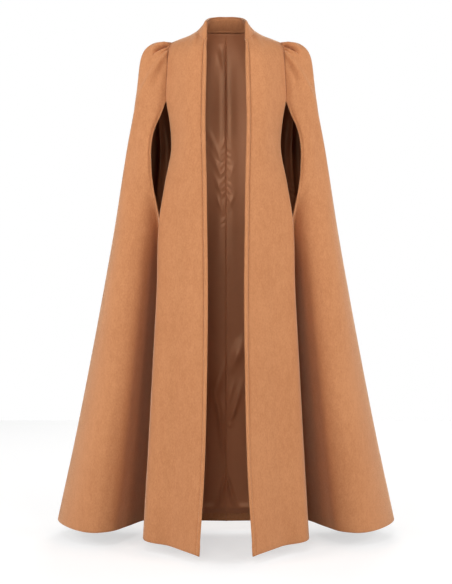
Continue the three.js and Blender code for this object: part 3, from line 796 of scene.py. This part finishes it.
borders = {
    "front": {"start": 0.35, "end": sewnRows(rowCount, 0.5), "top": 0.1},
    "band": {"end": 0.35, "top": 0.1},
    "cape": {"start": sewnRows(len(capeGrid), 0.5), "end": 0.3, "top": 0.5},
    "back": {"start": 0.3, "end": 0.35, "top": 0.25},
    "collar": {"bottom": 0.1},
    "lining": {"start": 0.3, "end": 0.3, "top": 0.3},
}
for hand, side in (("left", 1), ("right", -1)):
    for piece, node, outerDepth, cadName, carrier in (
        ("frontPanel", "front", frontDepth(), "front", "collar"),
        ("frontBand", "band", bandDepth(), "front_band", f"front_{hand}"),
        ("capeSide", "cape", -slitRise(), "cape", f"front_{hand}"),
        ("backPanel", "back", 0, "back", "collar"),
    ):
        grid = grids[node]
        wall, cut = clothWall(f"{piece}_{hand}", grid, normalsOf[node], outerDepth, woolDepth(grid),
                              borders[node], side)
        settle(wall, cut, f"{cadName}_{hand}", camelWool)


def wholeNeck(halfGrid):
    return np.concatenate([halfGrid, halfGrid[:, -2::-1] * np.array([-1, 1, 1])], axis=1)


collarWhole, collarNormals = wholeNeck(collarGrid), wholeNeck(normalsOf["collar"])
collar, cut = clothWall("standCollar", collarWhole, collarNormals, 0, garment["woolThickness"],
                        borders["collar"])
settle(collar, cut, "collar", camelWool)
belowTop = distances(collarWhole, collarWhole[-1:])
stitched = hump(belowTop, standCollar["stitchBelowTop"], standCollar["stitchWidth"])
stitched *= standCollar["stitchDepth"]
aboveSeam = distances(collarWhole, collarWhole[:1])
rollWidth = standCollar["seamRollWidth"]
stitched -= standCollar["seamRoll"] * hump(aboveSeam, rollWidth, rollWidth)
facingBack = standCollar["facingDepth"] + standCollar["facingThickness"]
facing, cut = clothWall("collarFacing", collarWhole, collarNormals, standCollar["facingDepth"],
                        facingBack - stitched, borders["collar"])
settle(facing, cut, "collar_facing", paintedShadeFacingWool)

print("satin lining")

satinLining = {
    "depth": 5,
    "thickness": 1,
    "deepestPress": 1.4,  # the nearest it may be pressed to the wool
    "aboveHem": 26,
    "firstCapeShare": 0.06,
    "lowerRows": 190,
    "upperRows": 110,
    "yokeRows": 48,
    "centreColumns": 34,
    "centreCrowding": 1.3,
    "shoulderStep": 1.5,
    "capeColumns": 96,
    "headRows": 30,
    "fadeRows": 3,  # how many rows at the hem, and at the top, have fainter folds
    "fadeTopRows": 12,
    "rearFrom": (30, 60),  # folds inside the slits start between these depths
    "pressWidth": 3.0,  # the stretch at its top that is pressed to the wool
    # Soft drapes and creases of the back as lines of x and z on the left half: depth is how far each
    # stands out towards the wearer. side says which half it is on. Without one, it is on both.
    "backFolds": [
        fold([(15, -20), (15, -200), (16, -420), (22, -700)], [0, 3.4, 4, 0], [13, 16, 16, 16], side=-1),
        fold([(14, -20), (14, -260), (20, -700)], [0, 3, 0], [12, 14, 14], side=1),
        fold([(17, -16), (12, -40), (8, -70), (5, -110)], [0, 3.2, 2.6, 0], [9, 8, 7, 6], side=-1),
        fold([(38, -18), (30, -44), (16, -84)], [0, -1.4, 0], [7, 7, 6], side=-1),
        fold([(56, -262), (32, -322), (10, -372)], [0, 3.2, 0], [9, 9, 6], side=-1),
        fold([(50, -318), (28, -374), (8, -418)], [0, 4.0, 0], [8, 8, 5], side=-1),
        fold([(42, -388), (22, -436), (6, -474)], [0, 3.6, 0], [7, 7, 5], side=-1),
        fold([(34, -452), (18, -494), (5, -528)], [0, 3.0, 0], [6, 6, 5], side=-1),
        fold([(34, -350), (18, -392), (6, -424)], [0, 2.0, 0], [6, 6, 5], side=1),
        fold([(30, -450), (14, -486), (4, -514)], [0, 2.4, 0], [6, 6, 5], side=1),
        fold([(0, 0), (0, -1440)], [-2.2, -2.2], [1.8, 1.8]),
        fold([(10, -676), (4, -690), (2, -700)], [0, 1.5, 0], [3, 3, 3], side=-1),
        fold([(12, -672), (5, -688), (2, -700)], [0, 1.5, 0], [3, 3, 3], side=1),
        fold([(62, -880), (34, -950), (6, -1010)], [0, 9, 0], [16, 15, 12], side=1),
        fold([(2, -960), (26, -1040), (40, -1120)], [0, 10, 0], [12, 15, 13], side=-1),
        fold([(58, -1010), (38, -1070), (20, -1130), (10, -1165)], [0, 6, 9, 0], [12, 10, 8, 5], side=1),
        fold([(30, -1020), (16, -1060), (4, -1120)], [0, 4, 0], [8, 7, 6], side=1),
        fold([(4, -1155), (12, -1168), (26, -1160)], [0, 6, 0], [4, 4, 5], side=1),
        fold([(40, -1040), (22, -1120), (8, -1240), (4, -1300)], [0, 9, 6, 0], [9, 8, 7, 6], side=-1),
        fold([(2, -1318), (8, -1350), (18, -1400), (30, -1432)], [2, 9, 11, 1], [4, 5, 7, 9], side=-1),
        fold([(2, -1318), (10, -1352), (22, -1404), (36, -1430)], [2, 9, 11, 1], [4, 5, 7, 9], side=1),
        fold([(16, -1424), (140, -1422)], [6, 7], [10, 10]),
    ],
    "seamPuckers": {"x": 0, "top": -270, "bottom": -600, "pitch": 25, "crest": 6, "width": 8, "depth": 2.0,
                    "slant": 1.1},
    # Folds seen through the slits, the same on both sides, in the back and the cape's lining.
    "slitFolds": [
        fold([(206, -190), (200, -250), (192, -320), (194, -390), (201, -450), (207, -530)],
             [0, 12, 17, 17, 12, 0], [7, 8, 9, 9, 8.5, 8]),
        fold([(178, -230), (173, -320), (171, -420)], [0, -1.4, 0], [7, 8, 8]),
    ],
    "slitPuckers": {"x": 196, "top": -380, "bottom": -540, "pitch": 19, "crest": 0, "width": 14, "depth": 3.2,
                    "slant": 0.7},
    # The puckers' shift and depth differ by side. Their waves wander: a share, a length and a start each.
    "puckerFade": 60,
    "puckerShift": {"acrossSeam": 0.37, "right": 0.45},
    "puckerDepth": {"left": 0.8, "right": 1.3},
    "puckerWaves": [(0.45, 31.0, 0.0), (0.3, 17.3, 1.0)],
    "puckerSwing": {"least": 0.6, "share": 0.4, "length": 23.0, "shift": 9, "dip": -0.2},
}


# A grid read between its own rows and columns.
def readBetween(grid, rowTimes, columnTimes):
    def along(points, times):
        low = np.clip(np.floor(times).astype(int), 0, len(points) - 2)
        share = (times - low)[:, None, None]
        return points[low] * (1 - share) + points[low + 1] * share
    return along(along(grid, rowTimes).transpose(1, 0, 2), columnTimes).transpose(1, 0, 2)


# Short slanting puckers that follow a seam, uneven in length.
def puckerRise(x, z, values, side=1):
    fade, shift, swing = (satinLining[name] for name in ("puckerFade", "puckerShift", "puckerSwing"))
    window = smoothStep(values["bottom"], values["bottom"] + fade, z)
    window *= 1 - smoothStep(values["top"] - fade, values["top"], z)
    away = np.abs(x - values["x"])
    sideways = np.where(x < values["x"], 0.0, shift["acrossSeam"]) + (shift["right"] if side < 0 else 0.0)
    wander = sum(share * np.sin(z / length + start) for share, length, start in satinLining["puckerWaves"])
    wave = np.sin(2 * math.pi * ((z + away * values["slant"]) / values["pitch"] + (wander + sideways)))
    wave *= swing["least"] + swing["share"] * np.sin(z / swing["length"] + sideways * swing["shift"])
    depth = values["depth"] * satinLining["puckerDepth"]["right" if side < 0 else "left"]
    return depth * np.clip(wave, swing["dip"], 1) * window * hump(away, values["crest"], values["width"])


def liningWall(name, material, hand, side, rowTimes, columnTimes):
    grid = readBetween(grids[name], rowTimes, columnTimes)
    normals = readBetween(normalsOf[name], rowTimes, columnTimes)
    x, z = grid[..., 0], grid[..., 2]
    rear = smoothStep(*satinLining["rearFrom"], grid[..., 1])
    rise = foldRise(x, z, satinLining["slitFolds"]) * rear
    if name == "back":
        rise += foldRise(x, z, satinLining["backFolds"], side)
        rise += puckerRise(x, z, satinLining["seamPuckers"], side)
    rise += puckerRise(x, z, satinLining["slitPuckers"]) * rear
    rise = rise * fadeIn(len(grid), satinLining["fadeRows"])[:, None]
    rise = rise * fadeIn(len(grid), satinLining["fadeTopRows"], fromEnd=True)[:, None]
    fromTop = distances(grid, grid[-1:])
    nearest = satinLining["deepestPress"]
    rise = rise - nearest * hump(fromTop, 0, satinLining["pressWidth"])
    depth = satinLining["depth"] + np.maximum(rise, -nearest)
    lining, cut = clothWall(f"{name}Lining_{hand}", grid, normals, depth, depth + satinLining["thickness"],
                            borders["lining"], side, rimSteps=2)
    settle(lining, cut, f"lining_{name}_{hand}", material)


# Where the lining's rows and columns lie among the wool's.
lowestRow = float(np.interp(garment["hem"] + satinLining["aboveHem"], heights, range(levelCount)))
slitRow = float(np.searchsorted(heights, garment["slitBottom"]))
chestRow = levelCount - 1
levelTimes = np.concatenate([
    np.linspace(lowestRow, slitRow, satinLining["lowerRows"]),
    np.linspace(slitRow, chestRow, satinLining["upperRows"])[1:],
])
yokeTimes = np.linspace(chestRow, rowCount - 1, satinLining["yokeRows"])[1:]
headTimes = np.linspace(chestRow, len(capeGrid) - 1, satinLining["headRows"])[1:]
backRowTimes = np.concatenate([levelTimes, yokeTimes])
capeRowTimes = np.concatenate([levelTimes, headTimes])
centre = backGrid.shape[1] - 1
toCentre = 1 - (1 - np.linspace(0, 1, satinLining["centreColumns"])) ** satinLining["centreCrowding"]
backColumnTimes = np.concatenate([
    np.arange(0, shoulder, satinLining["shoulderStep"]),
    shoulder + (centre - shoulder) * toCentre,
])
firstColumn = float(np.interp(satinLining["firstCapeShare"], capeUs, range(len(capeUs))))
capeColumnTimes = np.linspace(firstColumn, len(capeUs) - 1, satinLining["capeColumns"])
for hand, side in (("left", 1), ("right", -1)):
    liningWall("back", brownSatin, hand, side, backRowTimes, backColumnTimes)
    liningWall("cape", paintedShadeSatin, hand, side, capeRowTimes, capeColumnTimes)

print("stitches")

stitchRows = {
    "pitch": 3.6,
    "length": 2.5,
    "width": 0.55,
    "depth": 0.35,  # how far each stitch is pulled into the cloth
    "seed": 7,
    "fromSlitBottom": 12,
    "fromSlitTop": 8,
    "inGroove": 0.6,  # how far down the slit's groove its stitches lie
    "collarMargin": 2,  # columns without stitches at the collar's corners
    "capsule": {"Segments": 6, "Rings": 4, "Radius": 0.5},
    "uneven": {2: 0.9, 3: 1.1},
}


# Small capsules along every line of a mesh of edges.
def stitchTree():
    tree = bpy.data.node_groups.new("stitchAlong", "GeometryNodeTree")
    sockets = (("Geometry", "Geometry"), ("Pitch", "Float"), ("Stitch Length", "Float"),
               ("Thread Width", "Float"), ("Seed", "Int"))
    for name, kind in sockets:
        tree.interface.new_socket(name, in_out="INPUT", socket_type=f"NodeSocket{kind}")
    tree.interface.new_socket("Geometry", in_out="OUTPUT", socket_type="NodeSocketGeometry")
    inputs = addNode(tree, "NodeGroupInput")
    outputs = addNode(tree, "NodeGroupOutput")
    line = addNode(tree, "GeometryNodeMeshToCurve")
    spots = addNode(tree, "GeometryNodeCurveToPoints", mode="LENGTH")
    turn = addNode(tree, "FunctionNodeAlignRotationToVector", axis="Z")
    capsule = addNode(tree, "GeometryNodeMeshUVSphere", stitchRows["capsule"])
    size = addNode(tree, "ShaderNodeCombineXYZ")
    uneven = addNode(tree, "FunctionNodeRandomValue", stitchRows["uneven"], data_type="FLOAT")
    scaled = addNode(tree, "ShaderNodeVectorMath", operation="SCALE")
    place = addNode(tree, "GeometryNodeInstanceOnPoints")
    real = addNode(tree, "GeometryNodeRealizeInstances")
    finish = addNode(tree, "GeometryNodeSetMaterial", {"Material": sewingThread})
    linkNodes(tree, (inputs, "Geometry", line, "Mesh"), (line, "Curve", spots, "Curve"),
              (inputs, "Pitch", spots, "Length"), (spots, "Tangent", turn, "Vector"),
              (spots, "Points", place, "Points"), (turn, "Rotation", place, "Rotation"),
              (capsule, "Mesh", place, "Instance"), (inputs, "Thread Width", size, "X"),
              (inputs, "Thread Width", size, "Y"), (inputs, "Stitch Length", size, "Z"),
              (inputs, "Seed", uneven, "Seed"), (size, 0, scaled, 0), (uneven, 1, scaled, "Scale"),
              (scaled, 0, place, "Scale"), (place, "Instances", real, "Geometry"),
              (real, "Geometry", finish, "Geometry"), (finish, "Geometry", outputs, "Geometry"))
    return tree


# The stitched lines: the band's inner edge, the cape's edge of each slit and the top of the collar's facing.
def stitchLines():
    sunk = stitchRows["depth"]
    band = bandGrid[:, -1] - normalsOf["band"][:, -1] * sunk
    reach = distances(capeGrid, capeGrid[:, :1])
    lowest = garment["slitBottom"] + stitchRows["fromSlitBottom"]
    highest = garment["slitTop"] - stitchRows["fromSlitTop"]
    slitDepth = sunk + slitOpening["grooveDepth"] * stitchRows["inGroove"]
    near = capeSide["edgeColumns"]
    slit = []
    for r in np.nonzero((heights > lowest) & (heights < highest))[0]:
        column = np.interp(slitOpening["stitchLine"], reach[r, :near], range(near))
        low = int(column)
        share = column - low
        point = capeGrid[r, low] * (1 - share) + capeGrid[r, low + 1] * share
        slit.append(point - normalsOf["cape"][r, low] * slitDepth)
    lines = []
    for side in (1, -1):
        flip = np.array([side, 1, 1])
        lines += [band * flip, np.array(slit) * flip]
    rows = np.argmin(np.abs(belowTop - standCollar["stitchBelowTop"]), axis=0)
    columns = np.arange(len(rows))[stitchRows["collarMargin"]:-stitchRows["collarMargin"]]
    top = (rows[columns], columns)
    lines.append(collarWhole[top] - collarNormals[top] * (facingBack - standCollar["stitchDepth"]))
    return lines


def sewStitches():
    points, edges = [], []
    for line in stitchLines():
        start = len(points)
        points += (line * mm).tolist()
        edges += [(start + k, start + k + 1) for k in range(len(line) - 1)]
    guide = bpy.data.meshes.new("stitchGuide")
    guide.from_pydata(points, edges, [])
    holder = addObject("stitchGuide", guide)
    modifier = holder.modifiers.new("stitches", "NODES")
    modifier.node_group = stitchTree()
    values = {"Pitch": stitchRows["pitch"] * mm, "Stitch Length": stitchRows["length"] * mm,
              "Thread Width": stitchRows["width"] * mm, "Seed": stitchRows["seed"]}
    for item in modifier.node_group.interface.items_tree:
        if item.in_out == "INPUT" and item.name in values:
            modifier[item.identifier] = values[item.name]
    bpy.context.view_layer.update()
    evaluated = holder.evaluated_get(bpy.context.evaluated_depsgraph_get())
    mesh = bpy.data.meshes.new_from_object(evaluated)
    mesh.name = "topStitches"
    mesh.shade_smooth()
    holder.modifiers.remove(modifier)
    bpy.data.objects.remove(holder)
    stitches = addObject("topStitches", mesh)
    if not mesh.materials:
        mesh.materials.append(sewingThread)
    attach(stitches, "root")
    print(f"topStitches: {len(mesh.polygons)} faces")


sewStitches()

print("studio")

studio = {
    "cameraDistance": 3.2,
    "cameraHeight": -0.757,
    "lens": 68.0,
    "sensor": 36,
    "farthest": 50,
    "floorHeight": -1.502,
    "floorReach": 3.2,
    "floorColour": (0.42, 0.42, 0.42, 1),
    "floorRoughness": 0.9,
    "floorGlow": 0.6,
    "white": (1, 1, 1, 1),
    "surroundStrength": 0.1,
    # The place, power and size of each lamp.
    "lamps": {
        "keyLeft": ((-3.75, -2.3, 0.3), 121, 2.6),
        "keyRight": ((3.75, -2.3, 0.3), 117, 2.6),
        "frontFill": ((-0.35, -3.9, 2.4), 54, 0.8),
        "crossLeft": ((-1.5, -3.8, 0.9), 28, 0.8),
        "crossRight": ((1.5, -3.8, 0.9), 28, 0.8),
        "rimLeft": ((-3.6, 1.3, 0.2), 40, 2.0),
        "rimRight": ((3.6, 1.3, 0.2), 40, 2.0),
        "rearFill": ((0.6, 4.2, 1.4), 84, 2.4),
        "sheenLamp": ((-0.3, -4.0, 0.2), 90, 1.1),  # it only shows as a sheen, most of all on the satin
    },
    "sheenColour": (1.0, 0.84, 0.68),
    "aim": (0, 0, -0.75),
}

cameraData = bpy.data.cameras.new("camera")
cameraData.lens = studio["lens"]
cameraData.sensor_width = studio["sensor"]
cameraData.clip_end = studio["farthest"]
camera = addObject("camera", cameraData)
camera.location = (0, -studio["cameraDistance"], studio["cameraHeight"])
camera.rotation_euler = (math.radians(90), 0, 0)
scene.camera = camera


# The surround is seen as white, and lights the cloth less than it shows.
def studioWorld():
    world = bpy.data.worlds.new("studioWorld")
    world.use_nodes = True
    tree = world.node_tree
    lighting = tree.nodes["Background"]
    lighting.inputs["Strength"].default_value = studio["surroundStrength"]
    lighting.inputs["Color"].default_value = studio["white"]
    seen = addNode(tree, "ShaderNodeBackground", {"Color": studio["white"]})
    path = addNode(tree, "ShaderNodeLightPath")
    both = addNode(tree, "ShaderNodeMixShader")
    linkNodes(tree, (path, "Is Camera Ray", both, 0), (lighting, 0, both, 1),
              (seen, 0, both, 2), (both, 0, tree.nodes["World Output"], "Surface"))
    scene.world = world


studioWorld()
scene.view_settings.view_transform = "Standard"


def areaLight(name, place, power, size):
    light = bpy.data.lights.new(name, "AREA")
    light.energy = power
    light.size = size
    lamp = addObject(name, light)
    lamp.location = place
    lamp.visible_camera = False
    away = np.array(place) - np.array(studio["aim"])
    tilt = math.atan2(math.hypot(away[0], away[1]), away[2])
    lamp.rotation_euler = (tilt, 0, math.atan2(away[0], -away[1]))
    return lamp


lamps = {name: areaLight(name, *values) for name, values in studio["lamps"].items()}
lamps["sheenLamp"].data.color = studio["sheenColour"]
lamps["sheenLamp"].visible_diffuse = False


def studioFloor():
    mesh = bpy.data.meshes.new("studioFloor")
    reach, z = studio["floorReach"], studio["floorHeight"]
    corners = [(-reach, -reach, z), (reach, -reach, z), (reach, reach, z), (-reach, reach, z)]
    mesh.from_pydata(corners, [], [(0, 1, 2, 3)])
    floor = addObject("studioFloor", mesh)
    material = bpy.data.materials.new("paleFloor")
    material.use_nodes = True
    tree = material.node_tree
    surface = tree.nodes["Principled BSDF"]
    surface.inputs["Base Color"].default_value = studio["floorColour"]
    surface.inputs["Roughness"].default_value = studio["floorRoughness"]
    glow = addNode(tree, "ShaderNodeEmission", {"Strength": studio["floorGlow"]})  # it lights nothing
    dark = addNode(tree, "ShaderNodeEmission", {"Strength": 0})
    path = addNode(tree, "ShaderNodeLightPath")
    shown = addNode(tree, "ShaderNodeMixShader")
    both = addNode(tree, "ShaderNodeAddShader")
    linkNodes(tree, (path, "Is Camera Ray", shown, 0), (dark, 0, shown, 1),
              (glow, 0, shown, 2), (surface, 0, both, 0),
              (shown, 0, both, 1),
              (both, 0, tree.nodes["Material Output"], "Surface"))
    mesh.materials.append(material)


studioFloor()
